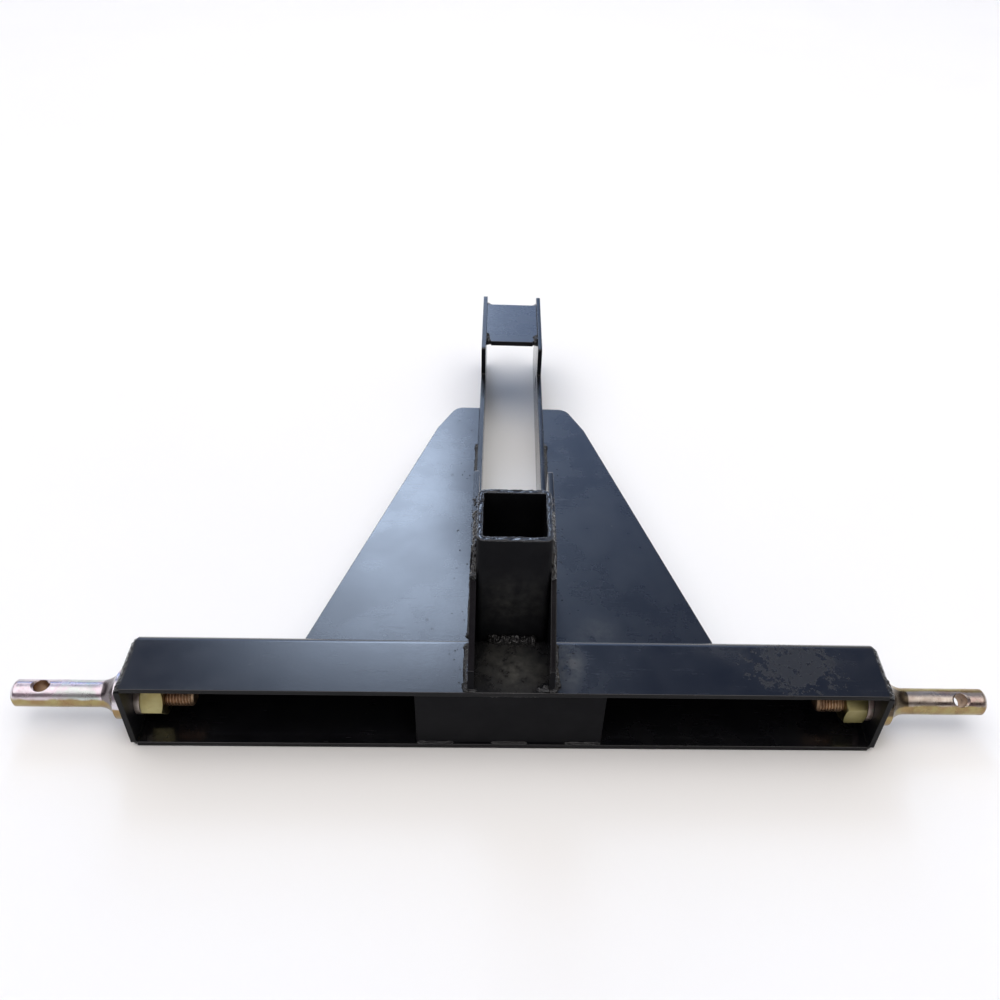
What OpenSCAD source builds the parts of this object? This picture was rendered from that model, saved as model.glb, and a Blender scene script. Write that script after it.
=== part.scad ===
// Three-point receiver hitch, lying on its front face with the mast flat on the ground.
// X runs along the crossbar, Y up the mast and Z out of the receiver's mouth.

/* [Crossbar] */
// Length over the two end plates
bar_length = 630; // [480:2:760]
// Width of the channel's flanges, from the open side to the web
bar_depth = 58; // [48:1:80]
// Height of the channel's web
bar_height = 75.5; // [60:0.5:100]
// Wall of the bent channel
bar_wall = 4.8; // [3:0.1:7]
// Outside radius of the channel's bends
bend_radius = 8; // [7.5:0.5:14]
// Thickness of the end plates
end_plate_t = 4.8; // [4:0.1:10]
// Width of the closing plate across the open side
closing_w = 156; // [90:2:220]
// Thickness of the closing plate
closing_t = 4.8; // [3:0.1:8]
// How far the closing plate sits behind the flange edges
closing_recess = 2.5; // [1:0.1:6]

/* [Lower pins] */
// Diameter of the lower hitch pins
pin_d = 22.2; // [18:0.1:28]
// Plain length of a pin, from its shoulder to its tip
pin_grip = 71; // [60:0.5:90]
// Distance from an end plate's face to the pin's shoulder
collar_length = 26.5; // [22:0.5:45]
// Diameter of the forged collar
collar_d = 41; // [34:0.5:50]
// Radius of the flare between the collar and the pin
flare_radius = 18; // [14:0.5:20]
// Height of the pins' axis above the ground
pin_axis_z = 31.5; // [28:0.5:36]
// Diameter of the linchpin hole
linch_d = 12; // [8:0.5:14]
// Distance from the pin's tip to the linchpin hole
linch_inset = 23.5; // [14:0.5:28]
// Turn of the right pin, whose hole doesn't stand upright
right_pin_turn = 30; // [0:1:90]

/* [Pin fasteners] */
// Diameter of the threaded stud behind each pin
stud_d = 19; // [14:0.5:20]
// Length of stud that stands out of the nut
stud_tail = 22.4; // [8:0.1:40]
// Width of the hex nut across its flats
nut_af = 32; // [29:0.5:38]
// Height of the hex nut
nut_h = 19.2; // [12:0.1:26]
// Turn of the left nut about its axis
left_nut_turn = 33.5; // [0:0.5:60]
// Turn of the right nut about its axis
right_nut_turn = 3; // [0:0.5:60]
// Outside diameter of the lock washer
washer_od = 33; // [28:0.5:36]
// Thickness of the lock washer
washer_t = 4.8; // [3:0.1:6]

/* [Receiver] */
// Clear width of the square receiver tube
recv_in = 51; // [45:0.2:64]
// Wall of the receiver tube
recv_wall = 4.6; // [3:0.1:8]
// Length of the receiver tube
recv_len = 190; // [176:1:240]
// Outside corner radius of the receiver tube
recv_corner = 6; // [4:0.5:9]
// Diameter of the cross hole for the hitch pin
hitch_hole_d = 16.3; // [12:0.1:20]
// Distance from the receiver's mouth to the cross hole
hitch_hole_inset = 63.5; // [58:0.5:76]

/* [Mast] */
// Thickness of the two mast plates
mast_t = 4.8; // [3:0.1:8]
// Distance from the crossbar's open side to the mast's far end
mast_length = 582; // [560:1:640]
// Depth of the mast plates between the gusset and the head
mast_depth = 70; // [68:1:84]
// Length of the deeper head at the far end
head_length = 125; // [116:1:134]
// Depth of the head
head_depth = 105; // [92:1:120]
// Height of the top-link hole above the lower pins' axis
top_pin_rise = 457; // [440:1:470]
// Diameter of the top-link hole
top_hole_d = 19.5; // [15:0.1:26]
// Distance of the top-link hole from the mast's front edge
top_hole_z = 38; // [28:1:44]
// How far the gusset's top edge sits behind the receiver's mouth
gusset_drop = 30; // [20:1:49]
// Height of the gusset's foot above the crossbar
foot_rise = 24.5; // [10:0.5:40]
// Place where the gusset's slope ends, from the open side
gusset_start = 79; // [72:1:90]
// Place where the gusset drops back to the mast, from the open side
gusset_end = 179; // [150:1:230]

/* [Head plate] */
// Length of the plate that joins the mast plates at the head
head_plate_l = 84; // [50:1:88]
// Thickness of that plate
head_plate_t = 6; // [4:0.5:10]
// Distance from the mast's far end to that plate
head_plate_inset = 25; // [14:1:28]

/* [Wings] */
// Half width of the wings where they meet the crossbar
wing_base = 176; // [150:1:210]
// Half width of the wings where their corners are cut
wing_side = 80; // [70:1:110]
// Half width of the wings at their far edge
wing_tip = 61; // [50:1:69]
// Length of the cut corner along the mast
wing_clip = 38; // [20:1:60]
// Distance from the open side to the wings' far edge
wing_reach = 396; // [360:1:420]
// Thickness of the wings
wing_t = 4.8; // [3:0.1:8]
// How far the wings lie below the crossbar's top
wing_drop = 9.5; // [4:0.5:12]
// Radius that softens the cut corners
wing_corner = 14; // [6:1:20]

/* [Welds] */
// Leg of the larger fillet welds
weld_leg = 5; // [3:0.5:6]
// Leg of the smaller fillet welds
weld_small = 3.6; // [2:0.2:4]
// Leg of the welds round the end plates
end_weld_leg = 4.6; // [3:0.1:6]
// Length of the weld between the crossbar and the receiver
base_weld_l = 41; // [20:1:50]
// Length of each stitch under the wings
stitch_l = 32; // [16:1:40]
// Distance from stitch to stitch along the mast
mast_stitch_step = 90; // [50:1:120]
// Distance from stitch to stitch along the crossbar
bar_stitch_step = 48; // [44:1:70]
// Plain length left at the far end of the wings' top weld
wing_weld_inset = 70; // [20:1:120]

/* [Hidden] */

black = "#1b1d21";
bead_black = "#26292e";
zinc = "#b8b094";
zinc_nut = "#c9bd8f";

round_fn = 72;
arc_steps = 6;
end_inset = min(end_weld_leg, end_plate_t);
channel_half = bar_length / 2 - end_plate_t;
pin_axis_y = bar_depth / 2;
recv_out = recv_in + 2 * recv_wall;
gusset_depth = recv_len - gusset_drop;
recv_mid_y = bar_depth + recv_out / 2;
hitch_hole_z = recv_len - hitch_hole_inset;
inner_half = recv_out / 2;
outer_half = inner_half + mast_t;
foot_y = 2;
gusset_round = 12;
slope_angle = atan2(gusset_depth - bar_height - foot_rise, gusset_start - foot_y);
slope_tangent = gusset_round * tan(slope_angle / 2);
step_y = mast_length - head_length;
wing_z = bar_height - wing_drop - wing_t;
fit_slack = 0.25;
stud_inner = channel_half - washer_t - nut_h - stud_tail;
head_plate_z = head_depth - head_plate_t;
head_plate_y1 = mast_length - head_plate_inset;
head_plate_y0 = head_plate_y1 - head_plate_l;
head_clip = [6, 14];

// Places the model so that its origin is under the middle of its outline
module placed() {
    translate([0, -mast_length / 2, 0]) children();
}

// Mirrors a left-hand piece to the right
module right_hand() {
    mirror([1, 0, 0]) children();
}

// Extrudes an outline drawn in Y and Z along X, from x0 to x1
module along_x(x0, x1) {
    translate([x0, 0, 0])
        rotate([90, 0, 90])
            linear_extrude(x1 - x0) children();
}

// Extrudes an outline drawn in X and Z along Y, from y0 to y1
module along_y(y0, y1) {
    translate([0, y1, 0])
        rotate([90, 0, 0])
            linear_extrude(y1 - y0) children();
}

// Extrudes an outline drawn in X and Y along Z, from z0 to z1
module along_z(z0, z1) {
    translate([0, 0, z0])
        linear_extrude(z1 - z0) children();
}

function unit(v) = v / norm(v);
function arm(p, q) = unit([q[0] - p[0], q[1] - p[1]]);

// Arc that rounds the corner at p between its neighbours a and b
function corner_arc(a, p, b) =
    let (
        u = arm(p, a),
        v = arm(p, b),
        half = acos(u * v) / 2,
        corner = [p[0], p[1]],
        centre = corner + unit(u + v) * p[2] / sin(half),
        start = corner + u * p[2] / tan(half) - centre,
        end = corner + v * p[2] / tan(half) - centre
    )
    [for (i = [0:arc_steps])
        centre + p[2] * unit(start * sin((90 - half) * 2 * (1 - i / arc_steps))
                             + end * sin((90 - half) * 2 * i / arc_steps))];

// Outline with corners given as [x, y, radius]
function rounded(points) =
    let (n = len(points))
    [for (i = [0:n - 1])
        each points[i][2] == 0
            ? [[points[i][0], points[i][1]]]
            : corner_arc(points[(i + n - 1) % n], points[i], points[(i + 1) % n])];

// Cross-section of a fillet weld that fills the corner at the origin
function bead(leg) = concat(
    [[0, 0]],
    [for (a = [0:18:90]) leg * (1 - 0.16 * sin(2 * a)) * [cos(a), sin(a)]]
);

module rounded_square(w, d, r) {
    translate([-w / 2 + r, -d / 2]) square([w - 2 * r, d]);
    translate([-w / 2, -d / 2 + r]) square([w, d - 2 * r]);
    for (sx = [-1, 1], sy = [-1, 1])
        translate([sx * (w / 2 - r), sy * (d / 2 - r)]) circle(r = r, $fn = round_fn);
}

// Side view of a channel: open at y = 0, with two rounded corners at its back
module channel_outline(depth, height, r) {
    square([depth - r, height]);
    translate([0, r]) square([depth, height - 2 * r]);
    for (z = [r, height - r])
        translate([depth - r, z]) circle(r = r, $fn = round_fn);
}

module crossbar_channel() {
    color(black)
    placed()
    along_x(-channel_half, channel_half)
    difference() {
        channel_outline(bar_depth, bar_height, bend_radius);
        translate([-bar_wall, bar_wall])
            channel_outline(bar_depth, bar_height - 2 * bar_wall, max(bend_radius - bar_wall, 0.5));
    }
}

// The end plate is a little smaller than the channel, which leaves room for its weld
module end_plate_left() {
    color(black)
    placed()
    difference() {
        along_x(-bar_length / 2, -channel_half)
            translate([0, end_inset])
                channel_outline(bar_depth - end_inset, bar_height - 2 * end_inset,
                                bend_radius - end_inset);
        translate([-bar_length / 2 - 1, pin_axis_y, pin_axis_z])
            rotate([0, 90, 0])
                cylinder(h = end_plate_t + 2, d = stud_d + 2 * fit_slack, $fn = round_fn);
    }
}

module end_plate_right() {
    right_hand() end_plate_left();
}

module closing_plate() {
    color(black)
    placed()
    translate([-closing_w / 2, closing_recess, bar_wall])
        cube([closing_w, closing_t, bar_height - 2 * bar_wall]);
}

mast_outline = rounded([
    [foot_y, bar_height, 0],
    [foot_y, bar_height + foot_rise, 4],
    [gusset_start, gusset_depth, gusset_round],
    [gusset_end, gusset_depth, 5],
    [gusset_end, mast_depth, 3],
    [step_y, mast_depth, 2],
    [step_y, head_depth, 3],
    [mast_length, head_depth, 9],
    [mast_length, 0, 9],
    [bar_depth, 0, 0],
    [bar_depth, bar_height, 0]
]);

// Each mast plate is one piece: foot and gusset beside the receiver, then the mast and its head
module mast_plate_left() {
    color(black)
    placed()
    difference() {
        along_x(-outer_half, -inner_half) polygon(mast_outline);
        for (hole = [[recv_mid_y, hitch_hole_z, hitch_hole_d],
                     [pin_axis_y + top_pin_rise, top_hole_z, top_hole_d]])
            translate([-outer_half - 1, hole[0], hole[1]])
                rotate([0, 90, 0]) cylinder(h = mast_t + 2, d = hole[2], $fn = round_fn);
    }
}

module mast_plate_right() {
    right_hand() mast_plate_left();
}

module receiver_tube() {
    color(black)
    placed()
    difference() {
        translate([0, recv_mid_y, 0])
            along_z(0, recv_len)
                difference() {
                    rounded_square(recv_out, recv_out, recv_corner);
                    rounded_square(recv_in, recv_in, max(recv_corner - recv_wall, 0.8));
                }
        translate([-recv_out / 2 - 1, recv_mid_y, hitch_hole_z])
            rotate([0, 90, 0])
                cylinder(h = recv_out + 2, d = hitch_hole_d, $fn = round_fn);
    }
}

// The near corners are clipped to make room for their welds
module head_plate() {
    color(black)
    placed()
    along_z(head_plate_z, head_depth)
    polygon([
        [-inner_half, head_plate_y1],
        [-inner_half, head_plate_y0 + head_clip[1]],
        [-inner_half + head_clip[0], head_plate_y0],
        [inner_half - head_clip[0], head_plate_y0],
        [inner_half, head_plate_y0 + head_clip[1]],
        [inner_half, head_plate_y1]
    ]);
}

module wing_plate_left() {
    color(black)
    placed()
    along_z(wing_z, wing_z + wing_t)
    polygon(rounded([
        [-outer_half, bar_depth, 0],
        [-wing_base, bar_depth, 0],
        [-wing_side, wing_reach - wing_clip, wing_corner],
        [-wing_tip, wing_reach, wing_corner],
        [-outer_half, wing_reach, 0]
    ]));
}

module wing_plate_right() {
    right_hand() wing_plate_left();
}

pin_r = pin_d / 2;
collar_r = collar_d / 2;
flare_run = sqrt(flare_radius ^ 2 - (flare_radius - collar_r + pin_r) ^ 2);
flare_steps = 9;
tip_chamfer = 2.6;
linch_chamfer = 1.8;
pin_x0 = stud_inner;
pin_x1 = bar_length / 2 + collar_length;
pin_x2 = pin_x1 + pin_grip;

// Half section of a pin, as [radius, distance along the crossbar]
pin_section = concat(
    [
        [0, pin_x0],
        [stud_d / 2 - 1.5, pin_x0],
        [stud_d / 2, pin_x0 + 1.5],
        [stud_d / 2, bar_length / 2],
        [collar_r - 1, bar_length / 2],
        [collar_r, bar_length / 2 + 1]
    ],
    [for (i = [0:flare_steps])
        let (s = flare_run * (1 - i / flare_steps))
        [pin_r + flare_radius - sqrt(flare_radius ^ 2 - s ^ 2), pin_x1 - s]],
    [
        [pin_r, pin_x2 - tip_chamfer],
        [pin_r - tip_chamfer, pin_x2],
        [0, pin_x2]
    ]
);

// A forged pin with its collar, its linchpin hole and the stud behind it
module hitch_pin(turn) {
    placed()
    translate([0, pin_axis_y, pin_axis_z])
    rotate([turn, 0, 0])
    difference() {
        rotate([0, 90, 0]) rotate_extrude($fn = round_fn) polygon(pin_section);
        translate([pin_x2 - linch_inset, 0, 0]) {
            cylinder(h = pin_d + 2, d = linch_d, center = true, $fn = round_fn);
            for (s = [0, 1])
                mirror([0, 0, s])
                    translate([0, 0, pin_r - linch_chamfer])
                        cylinder(h = 2 * linch_chamfer, r1 = linch_d / 2,
                                 r2 = linch_d / 2 + 2 * linch_chamfer, $fn = round_fn);
        }
    }
}

module hitch_pin_left() {
    color(zinc) right_hand() hitch_pin(0);
}

module hitch_pin_right() {
    color(zinc) hitch_pin(right_pin_turn);
}

// Split spring washer between the nut and the end plate
module lock_washer_left() {
    color(zinc)
    placed()
    translate([-channel_half, pin_axis_y, pin_axis_z])
    rotate([0, 90, 0])
    difference() {
        cylinder(h = washer_t, d = washer_od, $fn = round_fn);
        translate([0, 0, -1]) cylinder(h = washer_t + 2, d = stud_d + 2 * fit_slack, $fn = round_fn);
        translate([stud_d / 4, -0.8, -1]) rotate([12, 0, 0]) cube([washer_od, 1.6, washer_t + 3]);
    }
}

module lock_washer_right() {
    right_hand() lock_washer_left();
}

// Hex nut with both ends chamfered to a circle
module hex_nut(turn) {
    placed()
    translate([-channel_half + washer_t, pin_axis_y, pin_axis_z])
    rotate([0, 90, 0])
    rotate([0, 0, turn])
    difference() {
        intersection() {
            cylinder(h = nut_h, d = nut_af / cos(30), $fn = 6);
            rotate_extrude($fn = round_fn)
                polygon([
                    [0, 0],
                    [nut_af / 2 - 0.5, 0],
                    [nut_af / 2 + 4.5, 2.6],
                    [nut_af / 2 + 4.5, nut_h - 2.6],
                    [nut_af / 2 - 0.5, nut_h],
                    [0, nut_h]
                ]);
        }
        translate([0, 0, -1]) cylinder(h = nut_h + 2, d = stud_d + 2 * fit_slack, $fn = round_fn);
    }
}

module hex_nut_left() {
    color(zinc_nut) hex_nut(left_nut_turn);
}

module hex_nut_right() {
    color(zinc_nut) right_hand() hex_nut(right_nut_turn);
}

// Weld round the end plate, on three sides of the channel's end
module end_welds_left() {
    color(bead_black)
    placed()
    difference() {
        along_x(-channel_half - end_inset, -channel_half)
            channel_outline(bar_depth, bar_height, bend_radius);
        along_x(-bar_length, 0)
            translate([-1, end_inset])
                channel_outline(bar_depth + 1 - end_inset, bar_height - 2 * end_inset,
                                bend_radius - end_inset);
    }
}

module end_welds_right() {
    right_hand() end_welds_left();
}

// Short welds between the closing plate and the two flanges
module closing_plate_welds() {
    stitch = closing_w / 5;
    color(bead_black)
    placed() {
        for (x = [-closing_w / 2, -stitch / 2, closing_w / 2 - stitch])
            translate([0, closing_recess, bar_wall])
                along_x(x, x + stitch) mirror([1, 0]) polygon(bead(closing_recess));
        translate([0, closing_recess, bar_height - bar_wall])
            along_x(-stitch * 0.6, stitch * 0.8) mirror([1, 0]) mirror([0, 1]) polygon(bead(closing_recess));
    }
}

// Fillets along the outer side of the gusset's foot, and across its front
module mast_foot_welds_left() {
    color(bead_black)
    placed()
    translate([-outer_half, 0, bar_height])
        along_y(foot_y, bar_depth - bend_radius)
            mirror([1, 0]) polygon(bead(weld_leg));
}

module mast_foot_welds_right() {
    right_hand() mast_foot_welds_left();
}

// Weld in the groove between the crossbar's top bend and the receiver
module receiver_base_weld() {
    color(bead_black)
    placed()
    along_x(-base_weld_l / 2, base_weld_l / 2)
    difference() {
        translate([bar_depth, bar_height - bend_radius * 0.6])
            mirror([1, 0]) polygon(bead(weld_leg + bend_radius * 0.6));
        translate([-fit_slack, -fit_slack])
            channel_outline(bar_depth + 2 * fit_slack, bar_height + 2 * fit_slack,
                            bend_radius + fit_slack);
    }
}

// Fillet where the gusset's top edge and its slope meet the receiver's side
module receiver_side_welds_left() {
    color(bead_black)
    placed() {
        translate([-inner_half, 0, gusset_depth])
            along_y(gusset_start + slope_tangent, bar_depth + recv_out - recv_corner)
                mirror([1, 0]) polygon(bead(weld_small));
        translate([-inner_half, gusset_start, gusset_depth])
            rotate([slope_angle, 0, 0])
                along_y((bar_depth - gusset_start) / cos(slope_angle), -slope_tangent)
                    mirror([1, 0]) polygon(bead(weld_small));
    }
}

module receiver_side_welds_right() {
    right_hand() receiver_side_welds_left();
}

// Fillet between the wing and the mast plate, with stitches under it and under the crossbar joint
module wing_welds_left() {
    color(bead_black)
    placed() {
        translate([-outer_half, 0, wing_z + wing_t])
            along_y(bar_depth + weld_leg, wing_reach - wing_weld_inset)
                mirror([1, 0]) polygon(bead(min(weld_small, mast_depth - wing_z - wing_t)));
        for (y = [bar_depth + stitch_l:mast_stitch_step:wing_reach - stitch_l * 1.3])
            translate([-outer_half, 0, wing_z])
                along_y(y, y + stitch_l)
                    mirror([1, 0]) mirror([0, 1]) polygon(bead(weld_leg));
        for (x = [-wing_base + stitch_l / 4:bar_stitch_step:-outer_half - stitch_l])
            translate([0, bar_depth, wing_z])
                along_x(x, x + stitch_l) mirror([0, 1]) polygon(bead(weld_leg));
        translate([-outer_half, bar_depth, 0])
            along_z(weld_leg, wing_z - 3 * weld_leg)
                mirror([1, 0]) polygon(bead(weld_leg));
    }
}

module wing_welds_right() {
    right_hand() wing_welds_left();
}

// Welds in the four corners between the head plate and the mast plates
module head_plate_welds() {
    far_leg = 8;
    color(bead_black)
    placed()
    for (s = [0, 1])
        mirror([s, 0, 0]) {
            translate([-inner_half, head_plate_y1, 0])
                along_z(head_plate_z, head_depth - 1)
                    polygon(bead(far_leg));
            along_z(head_plate_z - 2, head_depth - 2)
                polygon([
                    [-inner_half, head_plate_y0 - 1],
                    [-inner_half + head_clip[0], head_plate_y0],
                    [-inner_half, head_plate_y0 + head_clip[1]]
                ]);
        }
}

crossbar_channel();
end_plate_left();
end_plate_right();
closing_plate();
mast_plate_left();
mast_plate_right();
receiver_tube();
head_plate();
wing_plate_left();
wing_plate_right();
hitch_pin_left();
hitch_pin_right();
lock_washer_left();
lock_washer_right();
hex_nut_left();
hex_nut_right();
end_welds_left();
end_welds_right();
closing_plate_welds();
mast_foot_welds_left();
mast_foot_welds_right();
receiver_base_weld();
receiver_side_welds_left();
receiver_side_welds_right();
wing_welds_left();
wing_welds_right();
head_plate_welds();
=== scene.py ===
import math
import random

import bmesh
import bpy
from mathutils import Matrix, Vector, noise


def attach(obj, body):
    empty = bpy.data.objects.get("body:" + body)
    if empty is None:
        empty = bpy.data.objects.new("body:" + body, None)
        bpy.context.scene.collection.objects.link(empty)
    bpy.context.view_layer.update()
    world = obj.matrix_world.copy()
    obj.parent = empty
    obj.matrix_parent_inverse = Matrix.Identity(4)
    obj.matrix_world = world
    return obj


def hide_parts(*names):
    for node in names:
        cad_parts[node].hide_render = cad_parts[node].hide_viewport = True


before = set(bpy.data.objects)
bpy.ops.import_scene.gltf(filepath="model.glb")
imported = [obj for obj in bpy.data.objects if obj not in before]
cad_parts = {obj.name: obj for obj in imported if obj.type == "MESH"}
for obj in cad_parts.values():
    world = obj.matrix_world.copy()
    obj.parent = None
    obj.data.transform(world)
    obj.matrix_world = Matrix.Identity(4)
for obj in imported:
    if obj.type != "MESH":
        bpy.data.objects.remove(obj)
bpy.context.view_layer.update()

# Sizes in metres, as in the solids
# X = 0 is the middle plane, Y0 the crossbar's open side and Z = 0 the ground
Y0 = -0.291
WALL = 0.0048
# Crossbar: depth, height, half length over the end plates and without them, and outside radius of the bends
BAR_D = 0.058
BAR_H = 0.0755
BAR_HALF = 0.315
CHANNEL_HALF = BAR_HALF - WALL
BEND = 0.008
# Inner and outer faces of the mast plates, as distances from the middle plane
INNER = 0.0301
OUTER = 0.0349
# Receiver tube: outside width, and the height of its rim
TUBE_OUT = 0.0602
TUBE_TOP = 0.190
# Upper and under face of the wings
WING_Z = 0.066
WING_UNDER = 0.0612
# Axis of the lower pins, and where their flare ends and the plain pin starts
PIN_Y = Y0 + 0.029
PIN_Z = 0.0315
NECK = BAR_HALF + 0.0265
# Gusset: height of its top, where its slope ends, and the height of its foot
GUSSET_Z = 0.160
GUSSET_Y = 0.079
FOOT_Z = 0.100
# Height of the head
HEAD_Z = 0.105


# Node helpers

class Nodes:
    """Short calls for the node types that the materials and the world use."""

    def __init__(self, tree, coordinates="Object"):
        self.tree = tree
        source = tree.nodes.new("ShaderNodeTexCoord")
        self.coord = source.outputs[coordinates]
        self.normal = source.outputs["Normal"]

    def put(self, socket, value):
        if isinstance(value, bpy.types.NodeSocket):
            self.tree.links.new(value, socket)
        else:
            socket.default_value = value

    def mapped(self, scale):
        node = self.tree.nodes.new("ShaderNodeMapping")
        self.put(node.inputs["Vector"], self.coord)
        node.inputs["Scale"].default_value = scale
        return node.outputs["Vector"]

    def noise(self, scale, detail=3.0, rough=0.5, vector=None, distortion=0.0):
        node = self.tree.nodes.new("ShaderNodeTexNoise")
        self.put(node.inputs["Vector"], vector or self.coord)
        node.inputs["Scale"].default_value = scale
        node.inputs["Detail"].default_value = detail
        node.inputs["Roughness"].default_value = rough
        node.inputs["Distortion"].default_value = distortion
        return node.outputs["Fac"]

    def cells(self, scale):
        """Distance to the nearest of points that are strewn over the space."""
        node = self.tree.nodes.new("ShaderNodeTexVoronoi")
        self.put(node.inputs["Vector"], self.coord)
        node.inputs["Scale"].default_value = scale
        return node.outputs["Distance"]

    def math(self, operation, a, b=0.0):
        node = self.tree.nodes.new("ShaderNodeMath")
        node.operation = operation
        self.put(node.inputs[0], a)
        self.put(node.inputs[1], b)
        return node.outputs[0]

    def span(self, value, low, high, to_low=0.0, to_high=1.0, smooth=True):
        node = self.tree.nodes.new("ShaderNodeMapRange")
        node.interpolation_type = "SMOOTHSTEP" if smooth else "LINEAR"
        self.put(node.inputs["Value"], value)
        node.inputs["From Min"].default_value = low
        node.inputs["From Max"].default_value = high
        node.inputs["To Min"].default_value = to_low
        node.inputs["To Max"].default_value = to_high
        return node.outputs["Result"]

    def mix(self, factor, a, b):
        node = self.tree.nodes.new("ShaderNodeMix")
        node.data_type = "RGBA"
        self.put(node.inputs["Factor"], factor)
        self.put(node.inputs["A"], a)
        self.put(node.inputs["B"], b)
        return node.outputs["Result"]

    def ramp(self, value, stops):
        node = self.tree.nodes.new("ShaderNodeValToRGB")
        self.put(node.inputs["Fac"], value)
        elements = node.color_ramp.elements
        while len(elements) < len(stops):
            elements.new(0.5)
        for element, (place, colour) in zip(elements, stops):
            element.position = place
            element.color = (*colour, 1.0)
        return node.outputs["Color"]

    def axis(self, name, vector=None):
        node = self.tree.nodes.new("ShaderNodeSeparateXYZ")
        self.put(node.inputs[0], vector or self.coord)
        return node.outputs[name]

    def near(self, centre, radius, squash=(1, 1, 1)):
        """One at a point of the object, falling to zero at a radius."""
        node = self.tree.nodes.new("ShaderNodeVectorMath")
        node.operation = "DISTANCE"
        scaled = self.tree.nodes.new("ShaderNodeVectorMath")
        scaled.operation = "MULTIPLY"
        self.put(scaled.inputs[0], self.coord)
        scaled.inputs[1].default_value = squash
        self.put(node.inputs[0], scaled.outputs[0])
        node.inputs[1].default_value = tuple(c * s for c, s in zip(centre, squash))
        return self.span(node.outputs["Value"], radius, 0.0)

    def bump(self, height, distance, strength=1.0, under=None):
        node = self.tree.nodes.new("ShaderNodeBump")
        node.inputs["Strength"].default_value = strength
        node.inputs["Distance"].default_value = distance
        self.put(node.inputs["Height"], height)
        if under is not None:
            self.put(node.inputs["Normal"], under)
        return node.outputs["Normal"]


def rgb(r, g, b):
    return (r, g, b, 1.0)


def material(name):
    """A new material, with short calls for its nodes, its links and its shader."""
    made = bpy.data.materials.new(name)
    made.use_nodes = True
    tree = made.node_tree
    return made, Nodes(tree), tree.links, tree.nodes["Principled BSDF"]


def enamel(name, dust_spots=(), pits=0.0, chips=(), haze=0.24, coat=0.6, level=0.5):
    """Black brushed-on enamel: soft orange peel, dull patches, dust, pits and small chips.

    A spot or chip is a centre, a radius, a strength and a squash. Pits is the share of the surface that has
    pits. Haze is the roughness, and coat and level set how much the paint mirrors.
    """
    made, n, links, shader = material(name)
    broad = n.noise(9.0, 3.0, 0.55)
    cloudy = n.noise(38.0, 5.0, 0.6)
    fine = n.noise(420.0, 3.0, 0.6)
    paint = n.mix(n.span(cloudy, 0.35, 0.7), rgb(0.0034, 0.0036, 0.0050), rgb(0.0062, 0.0064, 0.0080))
    film = n.math("MULTIPLY", n.span(n.noise(22.0, 6.0, 0.65), 0.48, 0.78), 0.025)
    for centre, radius, strength, squash in dust_spots:
        spot = n.math("MULTIPLY", n.near(centre, radius, squash), strength)
        spot = n.math("MULTIPLY", spot, n.span(n.noise(95.0, 6.0, 0.7), 0.25, 0.72))
        film = n.math("MAXIMUM", film, spot)
    grime = n.mix(n.span(n.noise(60.0, 3.0), 0.35, 0.65), rgb(0.080, 0.081, 0.076), rgb(0.12, 0.118, 0.106))
    colour = n.mix(film, paint, grime)
    rough = n.math("ADD", n.span(broad, 0.3, 0.72, haze - 0.03, haze + 0.05),
                   n.span(cloudy, 0.3, 0.75, -0.02, 0.04))
    rough = n.math("ADD", rough, n.math("MULTIPLY", film, 0.35))
    streak = n.noise(30.0, 4.0, 0.6, n.mapped((1.0, 14.0, 14.0)))
    rough = n.math("ADD", rough, n.span(streak, 0.55, 0.8, 0.0, 0.07))
    # Faces to the open side are duller
    rough = n.math("ADD", rough, n.span(n.axis("Y", n.normal), -0.75, -0.95, 0.0, 0.3))
    height = n.math("ADD", broad, n.math("MULTIPLY", cloudy, 0.12))
    normal = n.bump(height, 0.0009, 0.35)
    normal = n.bump(fine, 0.00012, 0.35, normal)
    if pits:
        dots = n.cells(70.0)
        chosen = n.span(n.noise(31.0, 0.0), 1.0 - pits, 1.0 - pits + 0.05)
        pit = n.math("MULTIPLY", n.span(dots, 0.10, 0.055), chosen)
        normal = n.bump(pit, -0.0006, 1.0, normal)
        colour = n.mix(n.math("MULTIPLY", pit, 0.8), colour, rgb(0.004, 0.005, 0.008))
    for centre, radius, strength, squash in chips:
        closeness = n.math("MULTIPLY", n.near(centre, radius, squash), 0.34)
        edge = n.math("ADD", n.noise(150.0, 6.0, 0.75), closeness)
        chip = n.math("MULTIPLY", n.span(edge, 0.74, 0.78), strength)
        colour = n.mix(chip, colour, rgb(0.004, 0.004, 0.005))
        rough = n.math("ADD", rough, n.math("MULTIPLY", chip, 0.3))
        normal = n.bump(chip, -0.0002, 0.8, normal)
    rough = n.math("MAXIMUM", n.math("MINIMUM", rough, 0.9), 0.1)
    links.new(colour, shader.inputs["Base Color"])
    links.new(rough, shader.inputs["Roughness"])
    links.new(normal, shader.inputs["Normal"])
    shader.inputs["IOR"].default_value = 1.52
    shader.inputs["Specular IOR Level"].default_value = level
    shader.inputs["Coat Weight"].default_value = coat
    shader.inputs["Coat Roughness"].default_value = 0.08
    return made


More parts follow.
